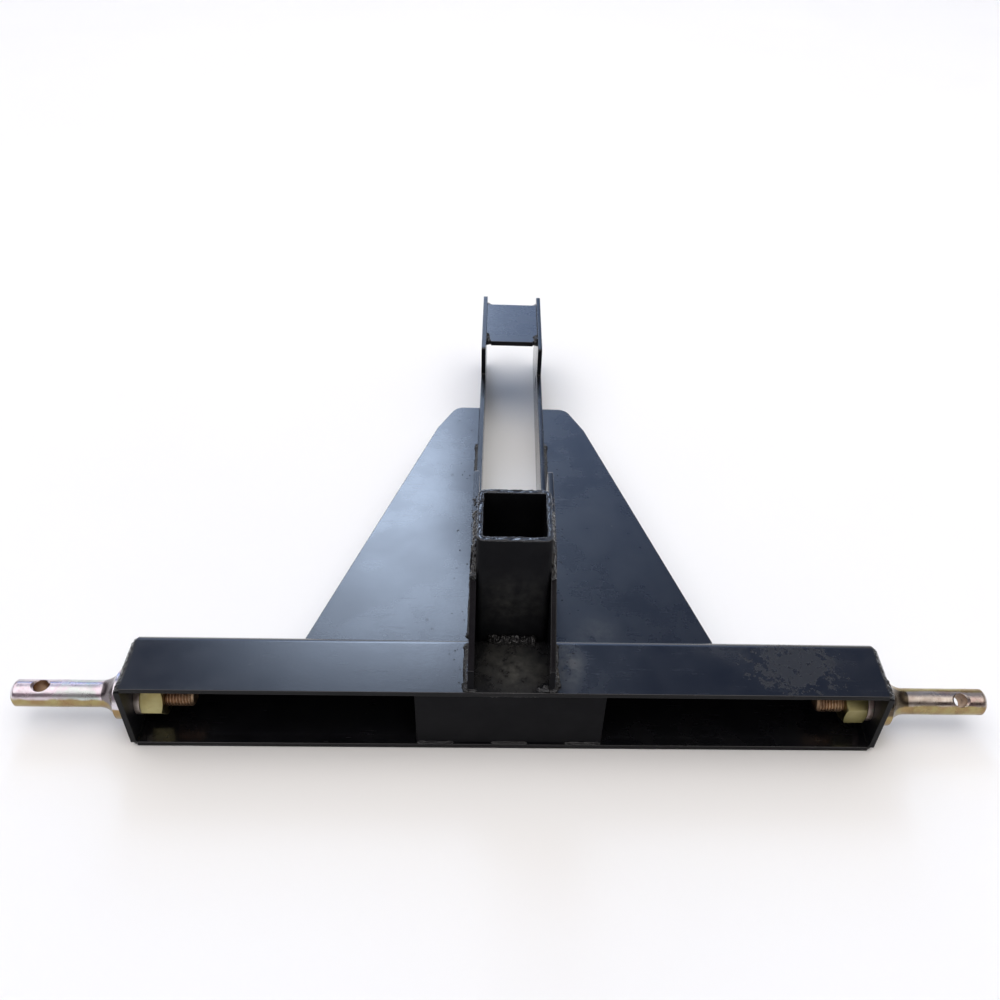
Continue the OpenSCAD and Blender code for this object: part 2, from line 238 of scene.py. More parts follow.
def weld_enamel(name, brown=0.03, coat=0.7):
    """The same paint over a weld: glossier, lumpy and finely grained, with brown dust in patches."""
    made, n, links, shader = material(name)
    lumps = n.noise(340.0, 3.0, 0.6)
    patches = n.noise(48.0, 3.0, 0.6)
    paint = n.mix(n.span(lumps, 0.3, 0.7), rgb(0.003, 0.0034, 0.0045), rgb(0.007, 0.0075, 0.0095))
    dusty = n.math("MULTIPLY", n.span(patches, 0.42, 0.7), brown)
    links.new(n.mix(dusty, paint, rgb(0.2, 0.17, 0.12)), shader.inputs["Base Color"])
    links.new(n.span(n.noise(120.0, 4.0, 0.6), 0.3, 0.7, 0.10, 0.22), shader.inputs["Roughness"])
    normal = n.bump(n.noise(150.0, 2.0), 0.0016, 0.7)
    normal = n.bump(lumps, 0.0028, 0.9, normal)
    normal = n.bump(n.noise(900.0, 2.0), 0.0002, 0.5, normal)
    links.new(normal, shader.inputs["Normal"])
    shader.inputs["IOR"].default_value = 1.5
    shader.inputs["Specular IOR Level"].default_value = 0.2
    shader.inputs["Coat Weight"].default_value = coat
    shader.inputs["Coat Roughness"].default_value = 0.06
    return made


def zinc(name, tints, dirt=0.25, rough=0.24, grain=(14.0, 1.0, 1.0), under=None, behind=None, neck=None):
    """Yellow-passivated zinc with shifting tints; olive painted below and behind and a dark stretch painted
    at the forged neck, both painted reflections.

    Under is the height below which the olive painted reflection lies, and behind the same in Y. Neck is where
    the painted dark reflection ends along X, its length and its colour.
    """
    made, n, links, shader = material(name)
    drift = n.noise(24.0, 3.0, 0.55, distortion=0.6)
    small = n.noise(150.0, 4.0, 0.6)
    value = n.math("ADD", n.math("MULTIPLY", drift, 0.8), n.math("MULTIPLY", small, 0.2))
    film = n.ramp(n.span(value, 0.3, 0.72, smooth=False), tints)
    # Olive colour of the painted reflection below and behind the pin's axis
    olive = n.mix(n.span(n.noise(80.0, 5.0, 0.6), 0.35, 0.65), rgb(0.31, 0.21, 0.10), rgb(0.37, 0.31, 0.14))
    wavy = n.span(n.noise(45.0, 3.0, 0.6), 0.3, 0.7, -0.001, 0.001)
    # The dark stretch on the flare at the neck is a painted dark reflection
    if neck is not None:
        at, wide, tint = neck
        along = n.math("ADD", n.math("ABSOLUTE", n.axis("X")), wavy)
        before_end = n.span(along, at + 0.0008, at - 0.0008)
        after_start = n.span(along, at - wide - 0.0015, at - wide + 0.0015)
        forged = n.math("MULTIPLY", before_end, after_start)
        film = n.mix(n.math("MULTIPLY", forged, 0.92), film, tint)
    # Olive below a height and behind a plane in Y is a painted reflection, not a film on the zinc
    if under is not None:
        low = n.span(n.math("ADD", n.axis("Z"), wavy), under + 0.0012, under - 0.0012)
        film = n.mix(low, film, olive)
    if behind is not None:
        far = n.span(n.math("ADD", n.axis("Y"), wavy), behind - 0.001, behind + 0.001)
        film = n.mix(far, film, olive)
    grime = n.math("MULTIPLY", n.span(n.noise(70.0, 6.0, 0.7), 0.5, 0.76), dirt)
    links.new(n.mix(grime, film, rgb(0.07, 0.05, 0.032)), shader.inputs["Base Color"])
    shader.inputs["Metallic"].default_value = 1.0
    ground = n.math("ADD", n.span(n.noise(60.0, 4.0), 0.3, 0.7, rough - 0.06, rough + 0.1),
                    n.math("MULTIPLY", grime, 0.35))
    links.new(ground, shader.inputs["Roughness"])
    lines = n.noise(90.0, 3.0, 0.6, n.mapped(grain))
    normal = n.bump(lines, 0.00012, 0.5)
    normal = n.bump(n.noise(220.0, 5.0, 0.7), 0.00022, 0.45, normal)
    links.new(normal, shader.inputs["Normal"])
    return made


# Mesh helpers

def add_object(name, mesh, shade):
    piece = bpy.data.objects.new(name, mesh)
    bpy.context.scene.collection.objects.link(piece)
    mesh.materials.clear()
    mesh.materials.append(shade)
    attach(piece, "root")
    return piece


def finished(work, name):
    """Turns a bmesh into a smooth mesh with its normals outward."""
    bmesh.ops.recalc_face_normals(work, faces=work.faces)
    for face in work.faces:
        face.smooth = True
    mesh = bpy.data.meshes.new(name)
    work.to_mesh(mesh)
    work.free()
    return mesh


def applied(piece):
    """Replaces a piece's mesh by the one its modifiers give."""
    graph = bpy.context.evaluated_depsgraph_get()
    mesh = bpy.data.meshes.new_from_object(piece.evaluated_get(graph))
    old = piece.data
    piece.modifiers.clear()
    piece.data = mesh
    bpy.data.meshes.remove(old)


def repainted(piece, shade, chosen):
    """Gives the chosen faces of a piece another material."""
    piece.data.materials.append(shade)
    last = len(piece.data.materials) - 1
    for face in piece.data.polygons:
        if chosen(face):
            face.material_index = last


def softened(node, shade, width, front=None, rim=None):
    """Stands for a solid, with its sharp edges eased by a width.

    Front is the material of the faces to the open side. Rim is that of the receiver's mouth, whose face is
    set back to make room for its burr.
    """
    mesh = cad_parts[node].data.copy()
    mesh.name = node + "_skin"
    work = bmesh.new()
    work.from_mesh(mesh)
    bmesh.ops.remove_doubles(work, verts=work.verts, dist=2e-6)
    bmesh.ops.dissolve_limit(work, angle_limit=math.radians(0.4), verts=work.verts, edges=work.edges)
    for face in work.faces:
        face.smooth = True
    work.to_mesh(mesh)
    work.free()
    piece = add_object(node + "_skin", mesh, shade)
    ease = piece.modifiers.new("ease", "BEVEL")
    ease.width = width
    ease.segments = 2
    ease.limit_method = "ANGLE"
    ease.angle_limit = math.radians(38)
    ease.use_clamp_overlap = True
    even = piece.modifiers.new("even", "WEIGHTED_NORMAL")
    even.keep_sharp = True
    applied(piece)
    if front is not None:
        repainted(piece, front, lambda face: face.normal.y < -0.9)
    if rim is not None:
        repainted(piece, rim, lambda face: face.center.z > TUBE_TOP - 0.0012)
        for vert in piece.data.vertices:
            if vert.co.z > TUBE_TOP - 0.0011:
                vert.co.z -= 0.0010
    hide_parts(node)


def bead_rings(points, side_a, side_b, leg, seed, pitch, lift, lumps, fade):
    """Rings of points along a bead, whose values are those of the function bead."""
    points, side_a, side_b = ([Vector(v) for v in row] for row in (points, side_a, side_b))
    lengths = [0.0]
    for p, q in zip(points, points[1:]):
        lengths.append(lengths[-1] + (q - p).length)
    total = lengths[-1]
    ring_gap = 0.0005
    across = 12
    sunk = 0.0004
    least_reach = 0.00025
    steps = max(8, int(total / ring_gap))
    rings = []
    for i in range(steps + 1):
        s = total * i / steps
        k = 0
        while k < len(points) - 2 and lengths[k + 1] < s:
            k += 1
        t = (s - lengths[k]) / max(lengths[k + 1] - lengths[k], 1e-9)
        corner = points[k].lerp(points[k + 1], t)
        a = side_a[k].lerp(side_a[k + 1], t).normalized()
        b = side_b[k].lerp(side_b[k + 1], t).normalized()
        slow = noise.noise(Vector((s * 70.0, seed * 3.1, 5.0)))
        near_end = min(s, total - s)
        taper = math.sin(min((near_end + 0.0002) / fade, 1.0) * math.pi / 2) ** 0.55
        swell = 1.0 + 0.2 * math.exp(-((near_end - 0.0035) / 0.003) ** 2)
        ring = [corner - (a + b) * sunk]
        for j in range(across + 1):
            angle = math.pi / 2 * j / across
            crescent = s + 0.0012 * math.sin(2 * angle)
            scale = abs(math.sin(math.pi * (crescent / pitch + 0.9 * slow + seed)))
            knob = noise.noise(Vector((s * 240.0, angle * 1.6, seed * 7.3)))
            shape = 1.0 - 0.12 * math.sin(2 * angle) + lift * math.sin(2 * angle)
            uneven = 0.86 + 0.12 * scale ** 0.7 + 0.17 * lumps * knob + 0.14 * slow
            reach = max(leg * shape * uneven * swell * taper, least_reach)
            ring.append(corner + a * (reach * math.cos(angle)) + b * (reach * math.sin(angle)))
        rings.append(ring)
    return rings


def loft(work, rings):
    """Joins closed rings into a closed surface."""
    grid = [[work.verts.new(p) for p in ring] for ring in rings]
    count = len(rings[0])
    for low, high in zip(grid, grid[1:]):
        for j in range(count):
            work.faces.new((low[j], low[(j + 1) % count], high[(j + 1) % count], high[j]))
    work.faces.new(list(reversed(grid[0])))
    work.faces.new(grid[-1])


def bead(points, side_a, side_b, leg, seed, pitch=0.0034, lift=0.0, lumps=1.0, fade=0.0035):
    """One weld bead along points. It fills the corner between two directions, which can differ by point.

    Leg is the bead's size and pitch that of its ripples. Lift makes it fuller, lumps less even, and fade is
    the length over which its ends run out.
    """
    side_a, side_b = (side if isinstance(side, list) else [side] * len(points) for side in (side_a, side_b))
    return {"points": points, "side_a": side_a, "side_b": side_b, "leg": leg, "seed": seed,
            "pitch": pitch, "lift": lift, "lumps": lumps, "fade": fade}


def mirrored(beads):
    """The same beads on the other side of the middle plane."""
    out = []
    for one in beads:
        copy = dict(one, seed=one["seed"] + 0.37)
        for key in ("points", "side_a", "side_b"):
            copy[key] = [(-x, y, z) for x, y, z in one[key]]
        out.append(copy)
    return out


def weld(name, node, beads, shade, blobs=()):
    """Stands for a node of welds. A blob is a centre, three radii and a seed."""
    work = bmesh.new()
    for one in beads:
        loft(work, bead_rings(**one))
    for centre, radii, seed in blobs:
        made = bmesh.ops.create_icosphere(work, subdivisions=4 if radii[0] > 0.002 else 3, radius=1.0)
        for vert in made["verts"]:
            rough = 1.0 + 0.2 * noise.noise(vert.co * 1.9 + Vector((seed, 0, 0)))
            vert.co = Vector(centre) + Vector([c * r * rough for c, r in zip(vert.co, radii)])
    # Nothing passes the crossbar's open side or the ground
    for vert in work.verts:
        vert.co.y = max(vert.co.y, Y0 + 0.0001)
        vert.co.z = max(vert.co.z, 0.0002)
    piece = add_object(name, finished(work, name), shade)
    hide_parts(node)


def rim_roll(name, half, level, corner, radius, seed, wide=1.0, around=10):
    """A lumpy roll of paint and burr along a rounded square about the receiver's middle.

    Half is half the square's width and corner its rounding. The roll is wide times as broad as it is high.
    """
    mid_y = Y0 + BAR_D + TUBE_OUT / 2
    step = 0.0006
    path = []
    for quarter in range(4):
        start = quarter * math.pi / 2
        east = math.cos(start)
        north = math.sin(start)
        centre = (half - corner) * Vector((east - north, north + east, 0))
        for i in range(7):
            turn = start + math.pi / 2 * i / 6
            path.append(centre + corner * Vector((math.cos(turn), math.sin(turn), 0)))
    points = []
    for p, q in zip(path, path[1:] + path[:1]):
        steps = max(1, int((q - p).length / step))
        points += [p.lerp(q, k / steps) for k in range(steps)]
    work = bmesh.new()
    rings = []
    for p, q in zip(points, points[1:] + points[:1]):
        out = Vector(((q - p).y, -(q - p).x, 0)).normalized()
        ring = []
        for j in range(around):
            angle = 2 * math.pi * j / around
            spot = p + out * (radius * wide * math.cos(angle))
            lump = noise.noise(Vector((spot.x * 190, spot.y * 190, seed)))
            grain = noise.noise(Vector((spot.x * 520, spot.y * 520, seed + 3.0)))
            slow = noise.noise(Vector((p.x * 60, p.y * 60, seed)))
            here = radius * max(0.3, 0.8 + 0.75 * lump + 0.4 * grain + 0.45 * slow)
            reach = here if wide == 1.0 else radius * wide * (0.94 + 0.06 * lump)
            ring.append(work.verts.new(Vector((p.x, p.y + mid_y, level)) + out * (reach * math.cos(angle))
                                       + Vector((0, 0, here * math.sin(angle)))))
        rings.append(ring)
    for ring, following in zip(rings, rings[1:] + rings[:1]):
        for j in range(around):
            work.faces.new((ring[j], ring[(j + 1) % around], following[(j + 1) % around], following[j]))
    for vert in work.verts:
        vert.co.z = min(vert.co.z, TUBE_TOP - 0.00005)
    add_object(name, finished(work, name), RIM_PAINT)


def spatter(count, low, high, size, seed, level):
    """Droplets that the welding threw on a face at a level, as flat blobs that are partly sunk in it."""
    chance = random.Random(seed)
    drops = []
    for _ in range(count):
        r = size * chance.uniform(0.5, 1.0)
        place = (chance.uniform(low[0], high[0]), chance.uniform(low[1], high[1]), level + 0.1 * r)
        drops.append((place, (r, r * chance.uniform(0.8, 1.2), 0.6 * r), chance.uniform(0, 9)))
    return drops


# Materials

EVEN = (1, 1, 1)
PLATE = enamel("enamel_plate", haze=0.26)
MAST = enamel("enamel_mast", haze=0.2, coat=0.25, level=0.35)
END = enamel("enamel_end", haze=0.4, coat=0.05, level=0.2)
MAST_FRONT = enamel("enamel_mast_front", haze=0.4, coat=0.0, level=0.06)
LEFT_WING = enamel("enamel_left_wing", pits=0.42, haze=0.27)
RIGHT_WING = enamel("enamel_right_wing", pits=0.3, haze=0.25,
                    dust_spots=[((0.075, Y0 + 0.07, WING_Z), 0.03, 0.3, EVEN)])
BAR = enamel("enamel_bar", haze=0.22,
             dust_spots=[((0.0, Y0 + 0.028, BAR_H), 0.045, 0.62, EVEN),
                         ((0.047, Y0 + 0.03, BAR_H), 0.03, 0.8, (1.6, 0.8, 1)),
                         ((0.19, Y0 + 0.05, BAR_H), 0.06, 0.16, (1, 2, 1))],
             chips=[((0.235, Y0 + 0.03, BAR_H), 0.085, 1.0, (1, 1.4, 1)),
                    ((0.06, Y0, 0.04), 0.05, 0.6, EVEN)])
TUBE = enamel("enamel_tube", haze=0.5, coat=0.0, level=0.12,
              dust_spots=[((0.0, Y0 + BAR_D, 0.12), 0.05, 0.25, EVEN)])
WELD = weld_enamel("enamel_weld")
DUSTY_WELD = weld_enamel("enamel_weld_dusty", brown=0.35)
RIM_PAINT = weld_enamel("enamel_rim", brown=0.0, coat=1.0)

SILVER = [(0.0, (0.56, 0.52, 0.55)), (0.3, (0.68, 0.65, 0.69)), (0.5, (0.66, 0.56, 0.62)),
          (0.72, (0.58, 0.63, 0.60)), (1.0, (0.57, 0.55, 0.59))]
GOLD = [(0.0, (0.34, 0.27, 0.23)), (0.3, (0.54, 0.48, 0.43)), (0.55, (0.48, 0.36, 0.33)),
        (0.78, (0.38, 0.44, 0.35)), (1.0, (0.52, 0.47, 0.37))]
YELLOW = [(0.0, (0.27, 0.22, 0.09)), (0.4, (0.36, 0.32, 0.16)), (0.7, (0.30, 0.27, 0.11)),
          (1.0, (0.50, 0.47, 0.30))]
COPPER = [(0.0, (0.26, 0.15, 0.09)), (0.5, (0.38, 0.25, 0.16)), (1.0, (0.46, 0.34, 0.22))]
NO_GRAIN = (3.0, 3.0, 3.0)
# Under, behind and neck place each pin's painted reflections
PIN_LEFT = zinc("zinc_pin_left", SILVER, rough=0.2, under=PIN_Z + 0.0050,
                neck=(NECK - 0.004, 0.0105, rgb(0.16, 0.14, 0.145)))
PIN_RIGHT = zinc("zinc_pin_right", GOLD, rough=0.2, under=PIN_Z + 0.0056, behind=PIN_Y + 0.0019,
                 neck=(NECK + 0.001, 0.027, rgb(0.06, 0.045, 0.025)), dirt=0.5)
NUT = zinc("zinc_nut_yellow", YELLOW, rough=0.3, grain=NO_GRAIN)
WASHER = zinc("zinc_washer", GOLD, dirt=0.5, rough=0.3, grain=NO_GRAIN)
# Also paints the linchpin hole's wall dark, as painted shade
STUD = zinc("zinc_stud", COPPER, dirt=0.7, rough=0.36, grain=NO_GRAIN)


# Plates, nuts and washers, from their solids

softened("crossbar_channel", BAR, 0.0008, front=END)
for node in ("end_plate_left", "end_plate_right"):
    softened(node, END, 0.0006)
softened("closing_plate", TUBE, 0.0005)
for node in ("mast_plate_left", "mast_plate_right"):
    softened(node, MAST, 0.0010, front=MAST_FRONT)
softened("receiver_tube", TUBE, 0.0007, rim=RIM_PAINT)
softened("head_plate", PLATE, 0.0008, front=END)
softened("wing_plate_left", LEFT_WING, 0.0007)
softened("wing_plate_right", RIGHT_WING, 0.0007)
for node in ("hex_nut_left", "hex_nut_right"):
    softened(node, NUT, 0.0005)
for node in ("lock_washer_left", "lock_washer_right"):
    softened(node, WASHER, 0.0004)


# Pins, turned and forged, with real threads on their studs

# Radii of the pin, its collar and the plain part of its stud
PIN_R = 0.0111
COLLAR_R = 0.0205
STUD_R = 0.0093
# Length of the plain pin, and radius of the hollow flare between it and the collar
GRIP = 0.071
FLARE = 0.018
# Lock washer and nut as clamped on the stud, and what the stud shows past them
WASHER_T = 0.0048
NUT_T = 0.0192
TAIL = 0.0224
STUD_END = CHANNEL_HALF - WASHER_T - NUT_T - TAIL
# The thread ends inside the nut. Its pitch, root radius and depth
THREAD_END = CHANNEL_HALF - 0.022
THREAD_PITCH = 0.00254
THREAD_ROOT = 0.00805
THREAD_DEPTH = 0.00145
# Linchpin hole: place along X, radius, and half the length that isn't chamfered
LINCHPIN_X = 0.389
LINCHPIN_R = 0.006
LINCHPIN_HALF = 0.0093


def pin_profile():
    """Distances along X with their radii, from the stud's end to the pin's tip. No radius means thread."""
    thread_start = STUD_END + 0.0016
    rows = [(STUD_END, STUD_R - 0.0019), (thread_start, STUD_R - 0.0002)]
    steps = 150
    for i in range(1, steps + 1):
        rows.append((thread_start + (THREAD_END - thread_start) * i / steps, None))
    rows += [(THREAD_END + 0.0003, STUD_R), (BAR_HALF, STUD_R)]
    rows += [(BAR_HALF + 0.00005, COLLAR_R - 0.0010), (BAR_HALF + 0.0003, COLLAR_R - 0.0005),
             (BAR_HALF + 0.001, COLLAR_R)]
    flare_length = math.sqrt(FLARE ** 2 - (FLARE - COLLAR_R + PIN_R) ** 2)
    for i in range(19):
        s = flare_length * (1 - i / 18)
        rows.append((NECK - s, PIN_R + FLARE - math.sqrt(FLARE ** 2 - s ** 2)))
    for i in range(1, 30):
        rows.append((NECK + (GRIP - 0.0026) * i / 30, PIN_R))
    tip = NECK + GRIP
    rows += [(tip - 0.0027, PIN_R), (tip - 0.0024, PIN_R - 0.00012), (tip - 0.0004, PIN_R - 0.0021),
             (tip, PIN_R - 0.0027)]
    return rows


def thread_radius(x, turn):
    """Radius of the stud at a place along X and a part of a turn."""
    phase = (x / THREAD_PITCH - turn) % 1.0
    crest = 1.35 * (1 - abs(2 * phase - 1)) - 0.12
    return THREAD_ROOT + THREAD_DEPTH * min(1.0, max(0.0, crest))


def pin_mesh(side):
    """The pin with its collar, flare and stud. What was forged is a little uneven."""
    around = 96
    rings = []
    for x, radius in pin_profile():
        ring = []
        for j in range(around):
            angle = 2 * math.pi * j / around
            here = radius or thread_radius(x, side * j / around)
            if x > BAR_HALF:
                here += 0.00012 * noise.noise(Vector((x * 60, math.cos(angle) * 1.4, math.sin(angle) * 1.4)))
            ring.append(Vector((side * x, PIN_Y + here * math.cos(angle), PIN_Z + here * math.sin(angle))))
        rings.append(ring)
    work = bmesh.new()
    loft(work, rings)
    return finished(work, "pin")


def linchpin_cutter(side, turn):
    """The shape of the linchpin's hole, with a cone at each end for its chamfers."""
    around = 72
    reach = LINCHPIN_HALF + 0.0042
    rows = [(-reach, LINCHPIN_R + 0.0046), (-LINCHPIN_HALF, LINCHPIN_R), (LINCHPIN_HALF, LINCHPIN_R),
            (reach, LINCHPIN_R + 0.0046)]
    rings = []
    for z, radius in rows:
        angles = [2 * math.pi * j / around for j in range(around)]
        rings.append([Vector((radius * math.cos(a), radius * math.sin(a), z)) for a in angles])
    work = bmesh.new()
    loft(work, rings)
    cutter = bpy.data.objects.new("linchpin_cutter", finished(work, "linchpin_cutter"))
    bpy.context.scene.collection.objects.link(cutter)
    place = Matrix.Translation((side * LINCHPIN_X, PIN_Y, PIN_Z))
    cutter.matrix_world = place @ Matrix.Rotation(turn, 4, "X")
    bpy.context.view_layer.update()
    return cutter


def hitch_pin(node, side, shade, turn):
    """Stands for a pin. Its linchpin hole is turned by an angle about the pin's axis."""
    piece = add_object(node + "_forged", pin_mesh(side), shade)
    cutter = linchpin_cutter(side, turn)
    cut = piece.modifiers.new("linchpin_hole", "BOOLEAN")
    cut.object = cutter
    cut.operation = "DIFFERENCE"
    cut.solver = "EXACT"
    applied(piece)
    bpy.data.objects.remove(cutter)
    # Sharp edges stay sharp, and the linchpin's hole and the thread take the stud's rougher dark copper,
    # which in the hole is painted shade
    work = bmesh.new()
    work.from_mesh(piece.data)
    for edge in work.edges:
        if len(edge.link_faces) == 2 and edge.calc_face_angle(0.0) > math.radians(32):
            edge.smooth = False
    for face in work.faces:
        face.smooth = True
        middle = face.calc_center_median()
        off_axis = math.hypot(middle.y - PIN_Y, middle.z - PIN_Z)
        bored = abs(abs(middle.x) - LINCHPIN_X) < 0.0115 and off_axis < 0.0098
        threaded = all(abs(vert.co.x) < THREAD_END - 0.0015 for vert in face.verts)
        # The hole's wall takes the dark stud colour as painted shade
        if bored or threaded:
            face.material_index = 1
    work.to_mesh(piece.data)
    work.free()
    piece.data.materials.append(STUD)
    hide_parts(node)


hitch_pin("hitch_pin_left", -1, PIN_LEFT, 0.0)
hitch_pin("hitch_pin_right", 1, PIN_RIGHT, math.radians(30))


# Welds

LEFT = (-1, 0, 0)
RIGHT = (1, 0, 0)
BACK = (0, 1, 0)
FRONT = (0, -1, 0)
UP = (0, 0, 1)
DOWN = (0, 0, -1)

# Around the channel's ends, a little inside its outline
inset = 0.0046
bend_y = Y0 + BAR_D - BEND
outline = [(Y0 + 0.001, BAR_H - inset), (bend_y, BAR_H - inset)]
outward = [UP, UP]
for i in range(1, 7):
    a = math.pi / 2 * i / 6
    outline.append((bend_y + (BEND - inset) * math.sin(a), BAR_H - BEND + (BEND - inset) * math.cos(a)))
    outward.append((0, math.sin(a), math.cos(a)))
for i in range(7):
    a = math.pi / 2 * i / 6
    outline.append((bend_y + (BEND - inset) * math.cos(a), BEND - (BEND - inset) * math.sin(a)))
    outward.append((0, math.cos(a), -math.sin(a)))
outline.append((Y0 + 0.001, inset))
outward.append(DOWN)
points = [(-CHANNEL_HALF, y, z) for y, z in outline]
end_beads = [bead(points, LEFT, outward, 0.0045, 0.1, fade=0.0006, lumps=1.3)]
weld("end_bead_left", "end_welds_left", end_beads, WELD)
weld("end_bead_right", "end_welds_right", mirrored(end_beads), WELD,
     blobs=[((CHANNEL_HALF + 0.0022, Y0 + 0.0095, BAR_H - 0.0021), (0.0022, 0.0030, 0.0019), 1.4),
            ((CHANNEL_HALF + 0.0024, Y0 + 0.0165, BAR_H - 0.0017), (0.0018, 0.0021, 0.0014), 2.4),
            ((CHANNEL_HALF + 0.0012, Y0 + BAR_D - 0.0095, BAR_H - 0.0028), (0.0018, 0.0026, 0.0017), 3.4)])

# The closing plate's stitches: three at its foot, one at its top
closing_width = 0.156
recess_y = Y0 + 0.0025
stitch = closing_width / 5
top = BAR_H - WALL
beads = []
for number, x in enumerate((-closing_width / 2, -stitch / 2, closing_width / 2 - stitch)):
    points = [(x, recess_y, WALL), (x + stitch, recess_y, WALL)]
    beads.append(bead(points, FRONT, UP, 0.0021, 1.2 + number))
points = [(-stitch * 0.6, recess_y, top), (stitch * 0.8, recess_y, top)]
beads.append(bead(points, FRONT, DOWN, 0.0021, 4.4))
weld("closing_plate_beads", "closing_plate_welds", beads, WELD)

# Along the mast's feet on the crossbar, with blobs at the open side
points = [(-OUTER, Y0 + 0.004, BAR_H), (-OUTER, bend_y, BAR_H)]
foot_beads = [bead(points, LEFT, UP, 0.0046, 2.3, lift=0.12, lumps=1.3)]
weld("mast_foot_bead_left", "mast_foot_welds_left", foot_beads, WELD,
     blobs=[((-OUTER - 0.0008, Y0 + 0.0048, BAR_H + 0.0012), (0.0036, 0.0040, 0.0030), 1.0),
            ((-INNER - 0.0015, Y0 + 0.0032, BAR_H + 0.0008), (0.0042, 0.0028, 0.0024), 2.0)]
     + spatter(9, (-0.052, Y0 + 0.006), (-0.041, Y0 + 0.05), 0.0007, 3, BAR_H))
weld("mast_foot_bead_right", "mast_foot_welds_right", mirrored(foot_beads), DUSTY_WELD,
     blobs=[((OUTER - 0.0002, Y0 + 0.0048, BAR_H + 0.0014), (0.0036, 0.0038, 0.0032), 3.0),
            ((OUTER - 0.0026, Y0 + 0.0030, BAR_H + 0.0010), (0.0022, 0.0022, 0.0022), 3.6),
            ((INNER - 0.0022, Y0 + 0.0048, BAR_H + 0.0014), (0.0048, 0.0038, 0.0034), 4.0),
            ((INNER - 0.0066, Y0 + 0.0042, BAR_H + 0.0006), (0.0032, 0.0028, 0.0018), 5.0)]
     + spatter(9, (0.041, Y0 + 0.006), (0.054, Y0 + 0.05), 0.0007, 4, BAR_H))

# The receiver's foot on the crossbar
points = [(-0.0215, Y0 + BAR_D, BAR_H - 0.005), (0.0225, Y0 + BAR_D, BAR_H - 0.005)]
base_beads = [bead(points, FRONT, UP, 0.0084, 3.7, pitch=0.0046, lift=0.06, lumps=1.6)]
weld("receiver_base_bead", "receiver_base_weld", base_beads, WELD)

# Up the gussets' slopes and along their tops, beside the receiver
slope = math.atan2(GUSSET_Z - FOOT_Z, GUSSET_Y - 0.002)
rise = (0, -math.sin(slope), math.cos(slope))
half_rise = (0, -math.sin(slope / 2), math.cos(slope / 2))
points = [(-INNER, Y0 + BAR_D + 0.0005, GUSSET_Z - (GUSSET_Y - BAR_D) * math.tan(slope)),
          (-INNER, Y0 + GUSSET_Y - 0.003, GUSSET_Z - 0.003 * math.tan(slope)),
          (-INNER, Y0 + GUSSET_Y + 0.0035, GUSSET_Z - 0.0001),
          (-INNER, Y0 + BAR_D + TUBE_OUT + 0.004, GUSSET_Z)]
directions = [rise, rise, half_rise, UP]
side_beads = [bead(points, LEFT, directions, 0.0042, 5.9, pitch=0.0042, lift=0.14, lumps=1.5)]
weld("receiver_side_bead_left", "receiver_side_welds_left", side_beads, WELD,
     blobs=spatter(14, (-0.0345, Y0 + 0.118), (-0.0312, Y0 + 0.142), 0.0014, 12, GUSSET_Z))
weld("receiver_side_bead_right", "receiver_side_welds_right", mirrored(side_beads), WELD,
     blobs=spatter(18, (0.0312, Y0 + 0.118), (0.0345, Y0 + 0.142), 0.0016, 14, GUSSET_Z))

# Wings: a long bead above, along the mast, and stitches below, along mast and crossbar. One more bead fills
# the upright corner between mast and crossbar
wing_stitch = 0.032
mast_step = 0.09
bar_step = 0.048
wing_end = Y0 + 0.326
points = [(-OUTER, Y0 + BAR_D + 0.005, WING_Z), (-OUTER, wing_end, WING_Z)]
beads = [bead(points, LEFT, UP, 0.0034, 6.1)]
for number in range(3):
    y = Y0 + BAR_D + wing_stitch + mast_step * number
    points = [(-OUTER, y, WING_UNDER), (-OUTER, y + wing_stitch, WING_UNDER)]
    beads.append(bead(points, LEFT, DOWN, 0.0048, 7.0 + number))
for number in range(3):
    x = -0.168 + bar_step * number
    points = [(x, Y0 + BAR_D, WING_UNDER), (x + wing_stitch, Y0 + BAR_D, WING_UNDER)]
    beads.append(bead(points, BACK, DOWN, 0.0048, 8.5 + number))
points = [(-OUTER, Y0 + BAR_D, 0.005), (-OUTER, Y0 + BAR_D, WING_UNDER - 0.015)]
beads.append(bead(points, LEFT, BACK, 0.0048, 9.1))
weld("wing_beads_left", "wing_welds_left", beads, WELD,
     blobs=spatter(16, (-0.052, Y0 + 0.08), (-0.039, Y0 + 0.33), 0.0007, 5, WING_Z)
     + [((-OUTER - 0.0006, wing_end + 0.0005, WING_Z + 0.0006), (0.0030, 0.0034, 0.0024), 6.0)])
weld("wing_beads_right", "wing_welds_right", mirrored(beads), WELD,
     blobs=spatter(16, (0.039, Y0 + 0.08), (0.052, Y0 + 0.33), 0.0007, 6, WING_Z)
     + [((OUTER + 0.0006, wing_end + 0.0005, WING_Z + 0.0006), (0.0034, 0.0038, 0.0028), 7.0)])

# The head plate's corners
far_y = Y0 + 0.557
near_y = Y0 + 0.473
points = [(-INNER, far_y, HEAD_Z - 0.006), (-INNER, far_y, HEAD_Z - 0.0006)]
beads = [bead(points, RIGHT, BACK, 0.0076, 10.3)]
points = [(-INNER + 0.0003, near_y + 0.0002, HEAD_Z - 0.0052),
          (-INNER + 0.0003, near_y + 0.0145, HEAD_Z - 0.0022)]
beads.append(bead(points, RIGHT, UP, 0.0058, 10.9, lumps=1.6))
drops = [((side * (INNER - 0.0030), near_y + 0.0028, HEAD_Z - 0.0016), (0.0030, 0.0028, 0.0026), 8.0 + side)
         for side in (-1, 1)]
weld("head_plate_beads", "head_plate_welds", beads + mirrored(beads), WELD, blobs=drops)


# The receiver's cut rim, with burr and thick paint

